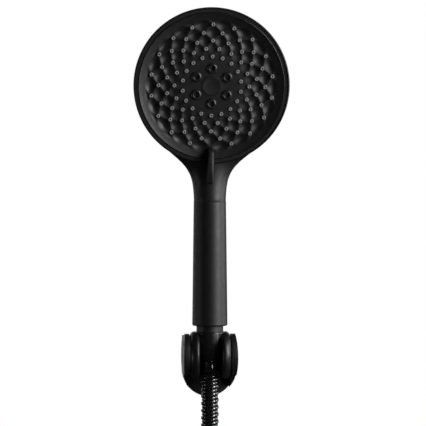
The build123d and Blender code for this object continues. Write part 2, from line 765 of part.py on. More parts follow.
# Face backplate: channels that feed the nozzles, ports behind, hub on the stem.
BACKPLATE_BACK = -9.5
CHANNEL_DEPTH = 1.7
with BuildPart() as face_backplate:
    with BuildSketch(face_plane.offset(BACKPLATE_BACK)):
        Circle(54.1)
        Circle(STEM_RADIUS + FIT, mode=Mode.SUBTRACT)
    extrude(amount=MAT_BACK - BACKPLATE_BACK)
    with BuildSketch(face_plane.offset(MAT_BACK)):
        Circle(6.8)
        Circle(STEM_RADIUS + FIT, mode=Mode.SUBTRACT)
    extrude(amount=0.35)
    with BuildSketch(face_plane.offset(MAT_BACK)):
        Circle(51.0)
        Circle(20.0, mode=Mode.SUBTRACT)
    extrude(amount=-CHANNEL_DEPTH, mode=Mode.SUBTRACT)
    with BuildSketch(face_plane.offset(MAT_BACK)):
        Circle(16.5)
        Circle(10.5, mode=Mode.SUBTRACT)
    extrude(amount=-CHANNEL_DEPTH, mode=Mode.SUBTRACT)
    with BuildSketch(face_plane.offset(BACKPLATE_BACK)):
        for click in (-1, 0, 1):
            with PolarLocations(22, 3, 90 + click * SELECTOR_STEP):
                Circle(1.9)
    extrude(amount=2, mode=Mode.SUBTRACT)
    # the three notches that the detent finds
    with BuildSketch(face_plane.offset(BACKPLATE_BACK)):
        for click in (-1, 0, 1):
            with PolarLocations(36, 1, 90 - FACE_TURN + click * SELECTOR_STEP):
                Circle(1.6)
    extrude(amount=0.7, mode=Mode.SUBTRACT)
save(face_backplate, "face_backplate")

# Centre cap: clipped over the screw.
with BuildPart() as centre_cap:
    with BuildSketch(head_plane.offset(-3.25)):
        Circle(7.4)
    extrude(amount=1.15)
    fillet(centre_cap.edges().filter_by(GeomType.CIRCLE).sort_by(face_axis)[-1], 0.5)
save(centre_cap, "centre_cap")

# Selector lever: upright fin, its foot in the face plate, its end over the neck.
LEVER_THICK = 4.2
with BuildPart() as selector_lever:
    with BuildSketch(lever_section):
        with BuildLine():
            Polyline(
                (46.8, -1.9),
                (50.6, -1.9),
                (50.6, -3.9),
                (54.6, -3.9),
                (54.6, -0.2),
                (57.0, 0.7),
                (62.0, 1.1),
                (73.6, 3.4),
            )
            ThreePointArc((73.6, 3.4), (75.0, 6.2), (72.6, 8.6))
            ThreePointArc((72.6, 8.6), (60.0, 9.4), (49.4, 5.2))
            Line((49.4, 5.2), (46.8, -1.9))
        make_face()
    extrude(amount=LEVER_THICK / 2, both=True)
save(selector_lever, "selector_lever")

# ================================================================ hose
# Route of the free stretch: straight down, then a gentle bend into the hank.
hose_route = [
    (0, AXIS_Y, HOSE_TOP),
    (0, AXIS_Y, -120),
    (-FOLD_RADIUS, AXIS_Y, -170),
    (-FOLD_RADIUS, AXIS_Y, -232),
]


def bend_radii(route):
    """Arc radius at each corner: 0.45 of the shorter run over the tangent of half the turn."""
    points = [Vector(*point) for point in route]
    radii = []
    for before, corner, after in zip(points, points[1:], points[2:]):
        arriving, leaving = corner - before, after - corner
        half_turn = radians(arriving.get_angle(leaving)) / 2
        radii.append(0.45 * min(arriving.length, leaving.length) / tan(half_turn))
    return radii


hose_radii = bend_radii(hose_route)
hank_inner_edge = -FOLD_RADIUS + HOSE_RADIUS

with BuildPart() as hose_run:
    with BuildLine():
        FilletPolyline(*hose_route, radius=hose_radii)
    with BuildSketch(Plane.XY.offset(HOSE_TOP).move(Location((0, AXIS_Y, 0)))):
        Circle(HOSE_RADIUS)
    sweep()
    swept_volume = hose_run.part.volume
    # the rounded upper end turns under the ferrule
    with Locations((0, AXIS_Y, HOSE_TOP)):
        Sphere(HOSE_RADIUS)
    # the hank takes over at its inner edge
    split(bisect_by=Plane.YZ.offset(hank_inner_edge + 0.02), keep=Keep.TOP)
save(hose_run, "hose_run")

# Hank: the rest of the hose, folded flat round on itself, as one closed shape.
hank_bottom_centre = HANK_TOP_CENTRE - HANK_RUN
outer_half = FOLD_RADIUS + STRAND + HOSE_RADIUS
inner_half = FOLD_RADIUS - HOSE_RADIUS
HANK_HALF_DEPTH = HOSE_RADIUS + 0.2
lower_arch_centre = -STRAND / 2
upper_arch_centre = (FOLD_RADIUS + STRAND + TAIL_X) / 2
lower_arch = FOLD_RADIUS - lower_arch_centre
upper_arch = FOLD_RADIUS + STRAND - upper_arch_centre
arch_inner = lower_arch - HOSE_RADIUS
arch_outer = upper_arch + HOSE_RADIUS
tail_outer = TAIL_X - HOSE_RADIUS
second_strand_inner = lower_arch_centre - arch_inner

with BuildPart() as hose_hank:
    with BuildSketch(Plane.XZ.offset(-AXIS_Y - HANK_HALF_DEPTH)):
        with BuildLine():
            ThreePointArc(
                (-outer_half, hank_bottom_centre),
                (0, hank_bottom_centre - outer_half),
                (outer_half, hank_bottom_centre),
            )
            Line((outer_half, hank_bottom_centre), (outer_half, HANK_TOP_CENTRE))
            ThreePointArc(
                (outer_half, HANK_TOP_CENTRE),
                (upper_arch_centre, HANK_TOP_CENTRE + arch_outer),
                (tail_outer, HANK_TOP_CENTRE),
            )
            Polyline(
                (tail_outer, HANK_TOP_CENTRE),
                (tail_outer, TAIL_END),
                (TAIL_X + HOSE_RADIUS, TAIL_END),
                (TAIL_X + HOSE_RADIUS, HANK_TOP_CENTRE),
                (-outer_half, HANK_TOP_CENTRE),
                (-outer_half, hank_bottom_centre),
            )
        make_face()
        with BuildLine():
            ThreePointArc(
                (-inner_half, hank_bottom_centre),
                (0, hank_bottom_centre - inner_half),
                (inner_half, hank_bottom_centre),
            )
            Line((inner_half, hank_bottom_centre), (inner_half, HANK_TOP_CENTRE))
            ThreePointArc(
                (inner_half, HANK_TOP_CENTRE),
                (lower_arch_centre, HANK_TOP_CENTRE + arch_inner),
                (second_strand_inner, HANK_TOP_CENTRE),
            )
            Polyline(
                (second_strand_inner, HANK_TOP_CENTRE),
                (second_strand_inner, -150),
                (-inner_half, -165),
                (-inner_half, hank_bottom_centre),
            )
        make_face(mode=Mode.SUBTRACT)
    extrude(amount=2 * HANK_HALF_DEPTH)
    # the free stretch comes down between the two arches
    with BuildSketch(Plane.XY.offset(HANK_TOP_CENTRE + arch_inner - 5)):
        with Locations((0, AXIS_Y)):
            Rectangle(2 * HOSE_RADIUS + 4, 2 * HANK_HALF_DEPTH + 4)
    extrude(amount=60, mode=Mode.SUBTRACT)
    for side, low in ((1, lower_arch), (-1, upper_arch)):
        with BuildSketch(Plane.XZ.offset(-AXIS_Y - side * (HANK_HALF_DEPTH + HOSE_RADIUS))):
            with Locations((0, HANK_TOP_CENTRE + low - 0.8)):
                Rectangle(2 * (HOSE_RADIUS + 7), 2 * HOSE_RADIUS)
        extrude(amount=HOSE_RADIUS, both=True)
save(hose_hank, "hose_hank")

# Ties: plastic bands round the folds.
STRAP_GAP = 0.1
band_inner_depth = 2 * (HANK_HALF_DEPTH + STRAP_GAP)
strands_width = outer_half - inner_half
strands_middle = (outer_half + inner_half) / 2
with BuildPart() as hank_ties:
    for side, share in ((1, 0.62), (-1, 0.98)):
        with BuildSketch(Plane.XY.offset(HANK_TOP_CENTRE - HANK_RUN * share)):
            with Locations((side * strands_middle, AXIS_Y)):
                Rectangle(strands_width + 2 * (STRAP_GAP + TIE_THICK), band_inner_depth + 2 * TIE_THICK)
                Rectangle(strands_width + 2 * STRAP_GAP, band_inner_depth, mode=Mode.SUBTRACT)
        extrude(amount=TIE_WIDTH)
    with BuildSketch(Plane.YZ.offset(-TIE_WIDTH / 2)):
        with Locations((AXIS_Y, hank_bottom_centre - strands_middle)):
            Rectangle(band_inner_depth + 2 * TIE_THICK, strands_width + 4 * STRAP_GAP + 2 * TIE_THICK)
            Rectangle(band_inner_depth, strands_width + 4 * STRAP_GAP, mode=Mode.SUBTRACT)
    extrude(amount=TIE_WIDTH)
save(hank_ties, "hank_ties")

# Tail fittings: ferrule, nipple and the G1/2 nut for the water outlet.
tail_section = Plane(origin=(TAIL_X, AXIS_Y, TAIL_END), x_dir=(1, 0, 0), z_dir=(0, -1, 0))
tail_axis = Axis((TAIL_X, AXIS_Y, TAIL_END), (0, 0, 1))

with BuildPart() as outlet_ferrule:
    with BuildSketch(tail_section):
        with BuildLine():
            Polyline(
                (3.2, 0), (7.6, 0), (7.6, -12), (7.0, -13), (5.5, -13), (5.5, -2), (3.2, -2), close=True
            )
        make_face()
    revolve(axis=tail_axis)
save(outlet_ferrule, "outlet_ferrule")

with BuildPart() as outlet_nipple:
    with BuildSketch(tail_section):
        with BuildLine():
            Polyline(
                (3.2, -2), (5.5, -2), (5.5, -17.2), (9.2, -17.2), (9.2, -19), (3.2, -19), close=True
            )
        make_face()
    revolve(axis=tail_axis)
save(outlet_nipple, "outlet_nipple")

with BuildPart() as outlet_nut:
    with BuildSketch(Plane.XY.offset(TAIL_END - 13.5)):
        with Locations((TAIL_X, AXIS_Y)):
            RegularPolygon(12.0, 6, major_radius=False, rotation=30)
    extrude(amount=-19.5)
    with BuildSketch(tail_section):
        with BuildLine():
            Polyline(
                (0, -13.4), (11.9, -13.4), (13.1, -15.2), (13.1, -31.2), (11.9, -33), (0, -33), close=True
            )
        make_face()
    revolve(axis=tail_axis, mode=Mode.INTERSECT)
    with BuildSketch(tail_section):
        with BuildLine():
            Polyline(
                (0, -13),
                (5.55, -13),
                (5.55, -17.1),
                (9.7, -17.1),
                (9.7, -21.2),
                (9.3, -21.2),
                (9.3, -34),
                (0, -34),
                close=True,
            )
        make_face()
    revolve(axis=tail_axis, mode=Mode.SUBTRACT)
save(outlet_nut, "outlet_nut")

with BuildPart() as outlet_washer:
    with BuildSketch(Plane.XY.offset(TAIL_END - 19.05)):
        with Locations((TAIL_X, AXIS_Y)):
            Circle(9.2)
            Circle(5.0, mode=Mode.SUBTRACT)
    extrude(amount=-2)
save(outlet_washer, "outlet_washer")

# ---------------------------------------------------------------- hose figures
section = pi * HOSE_RADIUS**2
run_length = swept_volume / section
free_above_bend = FERRULE_BOTTOM - HOSE_TOP
folds = pi * (FOLD_RADIUS + lower_arch + FOLD_RADIUS + STRAND + upper_arch)
left_leg = -232 - hank_bottom_centre
strands = 3 * HANK_RUN + left_leg + (HANK_TOP_CENTRE - TAIL_END)
print("hose bend radii", [round(radius, 1) for radius in hose_radii], "mm")
print("hose run", round(run_length, 1), "mm by volume over section")
print("whole hose", round(free_above_bend + run_length + folds + strands, 1), "mm")
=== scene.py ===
import math

import bpy
from mathutils import Matrix, Vector


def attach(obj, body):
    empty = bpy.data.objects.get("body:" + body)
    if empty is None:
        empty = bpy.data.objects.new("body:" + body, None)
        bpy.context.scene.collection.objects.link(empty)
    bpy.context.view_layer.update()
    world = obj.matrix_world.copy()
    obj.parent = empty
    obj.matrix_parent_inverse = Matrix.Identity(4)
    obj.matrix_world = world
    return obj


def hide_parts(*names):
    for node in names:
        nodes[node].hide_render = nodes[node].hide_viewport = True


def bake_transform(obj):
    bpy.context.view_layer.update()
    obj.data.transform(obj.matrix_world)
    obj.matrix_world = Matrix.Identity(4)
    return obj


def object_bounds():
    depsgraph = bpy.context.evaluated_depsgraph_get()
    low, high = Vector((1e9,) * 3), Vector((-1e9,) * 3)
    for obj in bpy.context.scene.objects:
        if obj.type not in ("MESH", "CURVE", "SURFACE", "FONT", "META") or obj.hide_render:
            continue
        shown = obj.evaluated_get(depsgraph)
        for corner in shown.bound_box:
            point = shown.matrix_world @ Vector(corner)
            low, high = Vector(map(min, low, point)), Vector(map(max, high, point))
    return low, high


# Looks of a handheld shower head in its tilting wall bracket, with its metal hose.
# Metres. +Y points into the wall, -Y to the person who showers, +Z up.
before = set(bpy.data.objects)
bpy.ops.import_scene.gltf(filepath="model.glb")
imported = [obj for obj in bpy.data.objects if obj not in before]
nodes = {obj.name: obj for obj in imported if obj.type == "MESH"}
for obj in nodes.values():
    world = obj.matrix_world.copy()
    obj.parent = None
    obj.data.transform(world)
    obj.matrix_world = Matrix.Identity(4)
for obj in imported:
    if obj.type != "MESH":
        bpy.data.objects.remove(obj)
cad_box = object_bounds()


# ---------------------------------------------------------------- camera
# A product picture: a long lens level with the middle of the handle, a little to the left.
target = Vector((0.0015, -0.046, 0.1106))
distance = 1.2
azimuth = math.radians(-4.0)
field_of_view = math.radians(15.6)
camera_data = bpy.data.cameras.new("camera")
camera_data.sensor_fit = "HORIZONTAL"
camera_data.sensor_width = 36.0
camera_data.lens = camera_data.sensor_width / 2 / math.tan(field_of_view / 2)
camera_data.clip_start = 0.05
camera_data.clip_end = 20.0
camera = bpy.data.objects.new("camera", camera_data)
camera.location = target + Vector((math.sin(azimuth), -math.cos(azimuth), 0)) * distance
camera.rotation_euler = (math.radians(90), 0, azimuth)
bpy.context.scene.collection.objects.link(camera)
bpy.context.scene.camera = camera


# ---------------------------------------------------------------- light and floor
# White studio: a pale floor and sheet, two soft boxes at the right, a rim strip behind at the left,
# and a small low box on each side that draws the bright columns down the hose.
def soft_box(name, place, aim, width, height, power):
    """One rectangular soft box at place, facing aim."""
    data = bpy.data.lights.new(name, "AREA")
    data.shape = "RECTANGLE"
    data.size = width
    data.size_y = height
    data.energy = power
    box = bpy.data.objects.new(name, data)
    box.location = place
    box.rotation_euler = (Vector(aim) - Vector(place)).to_track_quat("-Z", "Y").to_euler()
    box.visible_camera = False
    bpy.context.scene.collection.objects.link(box)
    return box


soft_box("soft_box_right", (1.4, -0.98, 0.6), (0, -0.03, 0.12), 0.65, 1.3, 36)
soft_box("soft_box_side", (1.65, 0.25, 0.35), (0, -0.03, 0.12), 0.8, 1.2, 11)
soft_box("strip_left", (-1.5, -0.28, -0.17), (0, -0.03, -0.04), 0.25, 0.26, 1.3)
soft_box("strip_right", (0.77, -1.32, -0.17), (0, -0.03, -0.04), 0.2, 0.26, 1.1)
soft_box("strip_rim", (-1.35, 0.9, 0.3), (0, -0.03, 0.05), 0.3, 1.4, 2.0)
soft_box("sheet_behind", (0.0, 2.2, 0.2), (0, -0.03, 0.12), 2.6, 2.0, 14)

# the room itself is dim, and only the camera sees the sheet behind as plain white
world = bpy.data.worlds.new("studio")
world.use_nodes = True
studio = world.node_tree
room = studio.nodes["Background"]
room.inputs["Color"].default_value = (1, 1, 1, 1)
room.inputs["Strength"].default_value = 0.015
white_sheet = studio.nodes.new("ShaderNodeBackground")
white_sheet.inputs["Color"].default_value = (1, 1, 1, 1)
white_sheet.inputs["Strength"].default_value = 1.0
sight = studio.nodes.new("ShaderNodeLightPath")
either = studio.nodes.new("ShaderNodeMixShader")
studio.links.new(sight.outputs["Is Camera Ray"], either.inputs["Fac"])
studio.links.new(room.outputs["Background"], either.inputs[1])
studio.links.new(white_sheet.outputs["Background"], either.inputs[2])
studio.links.new(either.outputs["Shader"], studio.nodes["World Output"].inputs["Surface"])
bpy.context.scene.world = world
bpy.context.scene.view_settings.view_transform = "Standard"

# the floor, a round pale sheet under the folded hose
bpy.ops.object.select_all(action="DESELECT")
floor_level = cad_box[0].z - 0.004
bpy.ops.mesh.primitive_circle_add(vertices=96, radius=1.1, fill_type="NGON", location=(0, 0, floor_level))
floor = bpy.context.object
floor.name = "floor"
bpy.ops.object.transform_apply()
floor_paint = bpy.data.materials.new("floor_paint")
floor_paint.use_nodes = True
floor_paint.node_tree.nodes["Principled BSDF"].inputs["Base Color"].default_value = (0.8, 0.8, 0.8, 1)
floor_paint.node_tree.nodes["Principled BSDF"].inputs["Roughness"].default_value = 0.6
floor.data.materials.append(floor_paint)
floor.visible_glossy = False  # or the undersides of the hose's ridges mirror it


# ---------------------------------------------------------------- hose
# Double-interlocked metal hose, 1.5 m long and 14 mm over its ridges. A wide raised band and a
# narrow sunk one wind round together as one screw. Black plated, pressed into a ferrule at each end.
bpy.ops.object.select_all(action="DESELECT")

axis_y = -0.032
hose_groove = 0.0057
hose_lead = 0.0056

strand = 0.0145
fold = 0.042
top_centre = -0.144
bottom_centre = -0.292
tail_x = -0.077
tail_end = -0.2374
hump = 0.0142

# the free stretch, then the folds: runs of points down and up, and six points round each bend
hose_points = [(0, axis_y, -0.014), (0, axis_y, -0.021), (0, axis_y, -0.120), (-fold, axis_y, -0.170)]


def add_bend(start_x, end_x, level, side, humps):
    """Half a turn from start_x to end_x about a centre at this level; side 1 goes over, -1 under."""
    centre = (start_x + end_x) / 2
    radius = (start_x - end_x) / 2
    reach = abs(radius) / math.cos(math.radians(15))
    hose_points.append((start_x, axis_y, level - side * reach * math.sin(math.radians(15))))
    for step, share in enumerate(humps):
        angle = math.radians(15 + 30 * step)
        x = centre + math.copysign(reach, radius) * math.cos(angle)
        hose_points.append((x, axis_y + share * hump, level + side * reach * math.sin(angle)))
    hose_points.append((end_x, axis_y, level - side * reach * math.sin(math.radians(15))))


flat = (0, 0, 0, 0, 0, 0)
behind = (0.1, 0.65, 1, 1, 0.65, 0.1)
in_front = (-0.1, -0.65, -1, -1, -0.65, -0.1)
add_bend(-fold, fold, bottom_centre, -1, flat)
add_bend(fold, -fold - strand, top_centre, 1, behind)
add_bend(-fold - strand, fold + strand, bottom_centre, -1, flat)
add_bend(fold + strand, tail_x, top_centre, 1, in_front)
hose_points.append((tail_x, axis_y, tail_end - 0.004))

hose_line = bpy.data.curves.new("hose_line", "CURVE")
hose_line.dimensions = "3D"
spline = hose_line.splines.new("NURBS")
spline.points.add(len(hose_points) - 1)
for point, place in zip(spline.points, hose_points):
    point.co = (*place, 1)
spline.order_u = 3
spline.use_endpoint_u = True
spline.resolution_u = 40
hose_curve = bpy.data.objects.new("hose_line", hose_line)
bpy.context.scene.collection.objects.link(hose_curve)
depsgraph = bpy.context.evaluated_depsgraph_get()
line_mesh = bpy.data.meshes.new_from_object(hose_curve.evaluated_get(depsgraph))
hose_path = [vertex.co.copy() for vertex in line_mesh.vertices]
bpy.data.objects.remove(hose_curve)


def even_points(path, spacing):
    """The same line again, in equal steps close to the spacing."""
    runs = [(b - a).length for a, b in zip(path, path[1:])]
    count = round(sum(runs) / spacing)
    step = sum(runs) / count
    points = [path[0].copy()]
    travelled = 0.0
    for a, run, b in zip(path, runs, path[1:]):
        while len(points) < count and step * len(points) <= travelled + run:
            points.append(a.lerp(b, (step * len(points) - travelled) / run))
        travelled += run
    points.append(path[-1].copy())
    return points


# One lead of the outline: share of the lead, and radius. The raised band comes first.
hose_outline = ((0.00, 0.0057), (0.03, 0.0065), (0.12, 0.0069), (0.27, 0.0070), (0.42, 0.0069),
                (0.53, 0.0065), (0.56, 0.0057), (0.60, 0.0061), (0.78, 0.00635), (0.96, 0.0061))
hose_steps = len(hose_outline)
hose_sides = 24
centres = even_points(hose_path, hose_lead / 16)
hose_span = sum((b - a).length for a, b in zip(centres, centres[1:]))
hose_leads = int(hose_span / hose_lead) + 1
hose_verts = []
hose_faces = []
for row in range(-hose_steps, hose_leads * hose_steps + 1):
    lead, step = divmod(row, hose_steps)
    share, ridge = hose_outline[step]
    for side in range(hose_sides):
        travelled = (lead + share + side / hose_sides) * hose_lead
        inside = 0 < travelled < hose_span
        place = min(max(travelled / hose_span, 0), 1) * (len(centres) - 1)
        low = min(int(place), len(centres) - 2)
        centre = centres[low].lerp(centres[low + 1], place - low)
        ahead = (centres[min(low + 3, len(centres) - 1)] - centres[max(low - 2, 0)]).normalized()
        across = Vector((0, 1, 0)).cross(ahead).normalized()
        outward = ahead.cross(across)
        turn = 2 * math.pi * side / hose_sides
        radius = ridge if inside else hose_groove
        hose_verts.append(centre + (across * math.cos(turn) + outward * math.sin(turn)) * radius)
rows = len(hose_verts) // hose_sides
for row in range(rows - hose_steps - 1):
    for side in range(hose_sides):
        a = row * hose_sides + side
        b = a + 1 if side + 1 < hose_sides else (row + hose_steps) * hose_sides
        hose_faces.append((a, b, b + hose_sides, a + hose_sides))
hose_mesh = bpy.data.meshes.new("hose")
hose_mesh.from_pydata(hose_verts, [], hose_faces)
hose = bpy.data.objects.new("hose", hose_mesh)
bpy.context.scene.collection.objects.link(hose)
bpy.context.view_layer.objects.active = hose
hose.select_set(True)
bpy.ops.object.mode_set(mode="EDIT")
bpy.ops.mesh.select_all(action="SELECT")
bpy.ops.mesh.remove_doubles(threshold=0.000002)
bpy.ops.mesh.select_all(action="DESELECT")
bpy.ops.mesh.select_non_manifold()
bpy.ops.mesh.fill_holes(sides=0)
bpy.ops.mesh.select_all(action="SELECT")
bpy.ops.mesh.normals_make_consistent(inside=False)
bpy.ops.object.mode_set(mode="OBJECT")
bpy.ops.object.shade_smooth_by_angle(angle=math.radians(60))


def material(name, colour, roughness, metallic=0.0, coat=0.0, coat_roughness=0.1, specular=0.5):
    """A new material with its even values on the shader, and its node tree to build on."""
    made = bpy.data.materials.new(name)
    made.use_nodes = True
    shader = made.node_tree.nodes["Principled BSDF"]
    shader.inputs["Base Color"].default_value = (*colour, 1)
    shader.inputs["Roughness"].default_value = roughness
    shader.inputs["Metallic"].default_value = metallic
    shader.inputs["Coat Weight"].default_value = coat
    shader.inputs["Coat Roughness"].default_value = coat_roughness
    shader.inputs["Specular IOR Level"].default_value = specular
    return made, made.node_tree, shader


def noise(tree, scale, detail=3.0):
    """Noise on Object coordinates, so that it stays on the piece."""
    place = tree.nodes.new("ShaderNodeTexCoord")
    texture = tree.nodes.new("ShaderNodeTexNoise")
    texture.inputs["Scale"].default_value = scale
    texture.inputs["Detail"].default_value = detail
    tree.links.new(place.outputs["Object"], texture.inputs["Vector"])
    return texture.outputs["Fac"]


def spread(tree, value, low, high):
    """A value from noise brought to the range low to high."""
    mapped = tree.nodes.new("ShaderNodeMapRange")
    mapped.inputs["From Min"].default_value = 0.3
    mapped.inputs["From Max"].default_value = 0.7
    mapped.inputs["To Min"].default_value = low
    mapped.inputs["To Max"].default_value = high
    tree.links.new(value, mapped.inputs["Value"])
    return mapped.outputs["Result"]


def bump(tree, shader, height, strength, distance):
    """Height into the shader's normal."""
    node = tree.nodes.new("ShaderNodeBump")
    node.inputs["Strength"].default_value = strength
    node.inputs["Distance"].default_value = distance
    tree.links.new(height, node.inputs["Height"])
    tree.links.new(node.outputs["Normal"], shader.inputs["Normal"])


def shades(tree, value, dark, light):
    """Colour between two shades by a value."""
    ramp = tree.nodes.new("ShaderNodeValToRGB")
    ramp.color_ramp.elements[0].position = 0.3
    ramp.color_ramp.elements[0].color = (*dark, 1)
    ramp.color_ramp.elements[1].position = 0.7
    ramp.color_ramp.elements[1].color = (*light, 1)
    tree.links.new(value, ramp.inputs["Fac"])
    return ramp.outputs["Color"]


black_plate, tree, shader = material("black_plate", (0.006, 0.006, 0.0065), 0.12, specular=1.0)
tree.links.new(shades(tree, noise(tree, 900), (0.004, 0.004, 0.0045), (0.008, 0.008, 0.0085)),
               shader.inputs["Base Color"])
tree.links.new(spread(tree, noise(tree, 350), 0.09, 0.15), shader.inputs["Roughness"])
bump(tree, shader, noise(tree, 2600), 0.03, 0.0001)
hose.data.materials.append(black_plate)

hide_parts("hose_run", "hose_hank")
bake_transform(hose)


# ---------------------------------------------------------------- moulded black parts
# Grip, rear housing, spray plate, lever and bracket are moulded in black ABS with a fine matte
# grain. The cradle's liner and the threaded insert, seen between them, are moulded alike.
matte_black, tree, shader = material("matte_black", (0.006, 0.006, 0.006), 0.5)
tree.links.new(shades(tree, noise(tree, 700), (0.0034, 0.0034, 0.0035), (0.0062, 0.0062, 0.0064)),
               shader.inputs["Base Color"])
tree.links.new(spread(tree, noise(tree, 240, 4), 0.44, 0.54), shader.inputs["Roughness"])
bump(tree, shader, noise(tree, 5200, 2), 0.1, 0.0001)


def finish_node(name, paint):
    """Gives a CAD node its finish."""
    nodes[name].data.materials.clear()
    nodes[name].data.materials.append(paint)


for name in ("grip_sleeve", "rear_housing", "cradle_liner", "inlet_insert"):
    finish_node(name, matte_black)


# ---------------------------------------------------------------- spray face
# Moulded plate that turns to choose the spray. Flat in the middle, then a lattice of shallow
# hollows with a nozzle on every crest, then a smooth ring that rises to the rim.
head_tilt = math.radians(10)
head_place = Matrix((
    (1, 0, 0, 0),
    (0, -math.sin(head_tilt), -math.cos(head_tilt), -0.056),
    (0, math.cos(head_tilt), -math.sin(head_tilt), 0.2075),
    (0, 0, 0, 1),
))
face_place = head_place @ Matrix.Rotation(math.radians(-0.6), 4, "Z")


def turned(name, profile, place, steps):
    """A closed or open outline of (radius, height) points, spun once round the height axis."""
    mesh = bpy.data.meshes.new(name)
    mesh.from_pydata([(r, 0, h) for r, h in profile], [(i, i + 1) for i in range(len(profile) - 1)], [])
    made = bpy.data.objects.new(name, mesh)
    bpy.context.scene.collection.objects.link(made)
    bpy.ops.object.select_all(action="DESELECT")
    bpy.context.view_layer.objects.active = made
    made.select_set(True)
    bpy.ops.object.mode_set(mode="EDIT")
    bpy.ops.mesh.select_all(action="SELECT")
    bpy.ops.mesh.spin(steps=steps, angle=2 * math.pi, center=(0, 0, 0), axis=(0, 0, 1))
    bpy.ops.mesh.select_all(action="SELECT")
    bpy.ops.mesh.remove_doubles(threshold=0.000002)
    bpy.ops.mesh.normals_make_consistent(inside=False)
    bpy.ops.object.mode_set(mode="OBJECT")
    bpy.ops.object.shade_smooth_by_angle(angle=math.radians(35))
    mesh.transform(place)
    return made


first_ring = 0.0227
ring_spacing = 0.0061
last_ring = first_ring + 4 * ring_spacing
plate_edge = 0.0563
hollow_depth = 0.0015
plate_level = -0.0023
flat_edge = 0.0486
outer_fall = 0.0003


def dish(radius):
    """Height of the plate without its hollows."""
    if radius < flat_edge:
        return plate_level - outer_fall * radius / flat_edge
    return plate_level - outer_fall + 0.0021 * ((radius - flat_edge) / 0.0073) ** 1.6


def step_up(value):
    """Smooth step from 0 to 1."""
    value = min(max(value, 0), 1)
    return value * value * (3 - 2 * value)


def hollow(radius, angle):
    """Depth of the lattice of hollows: nothing on the crests, most halfway between the nozzles."""
    across = math.pi * (math.degrees(angle) - 100) / 10
    along = math.pi * (radius - first_ring) / ring_spacing
    lattice = abs(math.cos(across) + math.cos(along)) / 2
    grows = step_up((radius - 0.0215) / 0.017)
    fades = 1 - step_up((radius - last_ring - 0.0008) / 0.0042)
    return hollow_depth * lattice * grows * fades


cells = 10
plate_profile = [(0.0070, -0.0050), (0.0070, -0.0033), (0.0075, -0.0033), (0.0075, plate_level)]
plate_profile += [(r, dish(r)) for r in (0.0078, 0.0100, 0.0130, 0.0160, 0.0190, 0.0205)]
plate_profile += [(first_ring + k * ring_spacing / cells, dish(first_ring + k * ring_spacing / cells))
                  for k in range(-2, 4 * cells + 12)]
plate_profile += [(r, dish(r)) for r in (0.0546, 0.0552, 0.0556)]
plate_profile += [(0.0559, -0.0005), (0.0562, -0.0007), (plate_edge, -0.0011), (plate_edge, -0.0094),
                  (0.0542, -0.0094), (0.0542, -0.0050), (0.0070, -0.0050)]
face_plate = turned("spray_face_plate", plate_profile, Matrix.Identity(4), 36 * cells)
for vertex in face_plate.data.vertices:
    radius = math.hypot(vertex.co.x, vertex.co.y)
    if vertex.co.z > -0.0031 and 0.0210 < radius < 0.0535:
        vertex.co.z -= hollow(radius, math.atan2(vertex.co.y, vertex.co.x))
face_plate.data.transform(face_place)
face_plate.data.materials.append(matte_black)
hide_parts("face_plate")
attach(face_plate, "spray_face")


# ---------------------------------------------------------------- small nozzles
# Soft grey silicone nozzles on the crests, five rings of them. Each is a low cup round a fine
# bore, pushed through the plate from behind and rubbed clean with a thumb.
nozzle_rings = ((18, 90, 20), (18, 100, 20), (18, 90, 20), (18, 100, 20), (17, 290, 20))
grey_silicone, tree, shader = material("grey_silicone", (0.2, 0.2, 0.2), 0.55)
tree.links.new(shades(tree, noise(tree, 1500), (0.17, 0.17, 0.172), (0.24, 0.24, 0.24)),
               shader.inputs["Base Color"])
tree.links.new(spread(tree, noise(tree, 900), 0.5, 0.62), shader.inputs["Roughness"])
bump(tree, shader, noise(tree, 4000, 2), 0.15, 0.0001)

cup_profile = [(0.0017, -0.0034), (0.00155, -0.0020), (0.0015, -0.0015), (0.00125, -0.0012),
               (0.0009, -0.00115), (0.0006, -0.0013), (0.0005, -0.0022), (0, -0.0022)]
cup = turned("nozzle", cup_profile, Matrix.Identity(4), 16)
cup.data.materials.append(grey_silicone)
for ring, (count, first_angle, spacing) in enumerate(nozzle_rings):
    for k in range(count):
        angle = math.radians(first_angle + k * spacing)
        radius = first_ring + ring * ring_spacing
        nozzle = bpy.data.objects.new(f"nozzle_{ring}_{k}", cup.data.copy())
        bpy.context.scene.collection.objects.link(nozzle)
        nozzle.data.transform(face_place @ Matrix.Translation(
            (radius * math.cos(angle), radius * math.sin(angle), dish(radius) - plate_level)))
        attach(nozzle, "spray_face")
        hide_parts("nozzle_mat")
bpy.data.objects.remove(cup)


# ---------------------------------------------------------------- massage nozzles
# Six wide nozzles round the middle: black silicone bosses, rounded like a ring, with a funnel
# down to the bore. They are pushed in from behind like the small ones.
black_silicone, tree, shader = material("black_silicone", (0.01, 0.01, 0.01), 0.32)
tree.links.new(shades(tree, noise(tree, 1100), (0.008, 0.008, 0.008), (0.014, 0.014, 0.014)),
               shader.inputs["Base Color"])
tree.links.new(spread(tree, noise(tree, 700), 0.28, 0.38), shader.inputs["Roughness"])
bump(tree, shader, noise(tree, 3600, 2), 0.1, 0.0001)
boss_profile = [(0.0043, -0.0030), (0.0043, -0.0024), (0.0041, -0.0019), (0.0037, -0.0014),
                (0.0032, -0.0010), (0.0027, -0.0008), (0.0023, -0.00085), (0.0020, -0.0011),
                (0.0018, -0.0016), (0.0017, -0.0050), (0, -0.0050)]
boss_circle = 0.0136
boss = turned("massage_nozzle", boss_profile, Matrix.Identity(4), 32)
boss.data.materials.append(black_silicone)
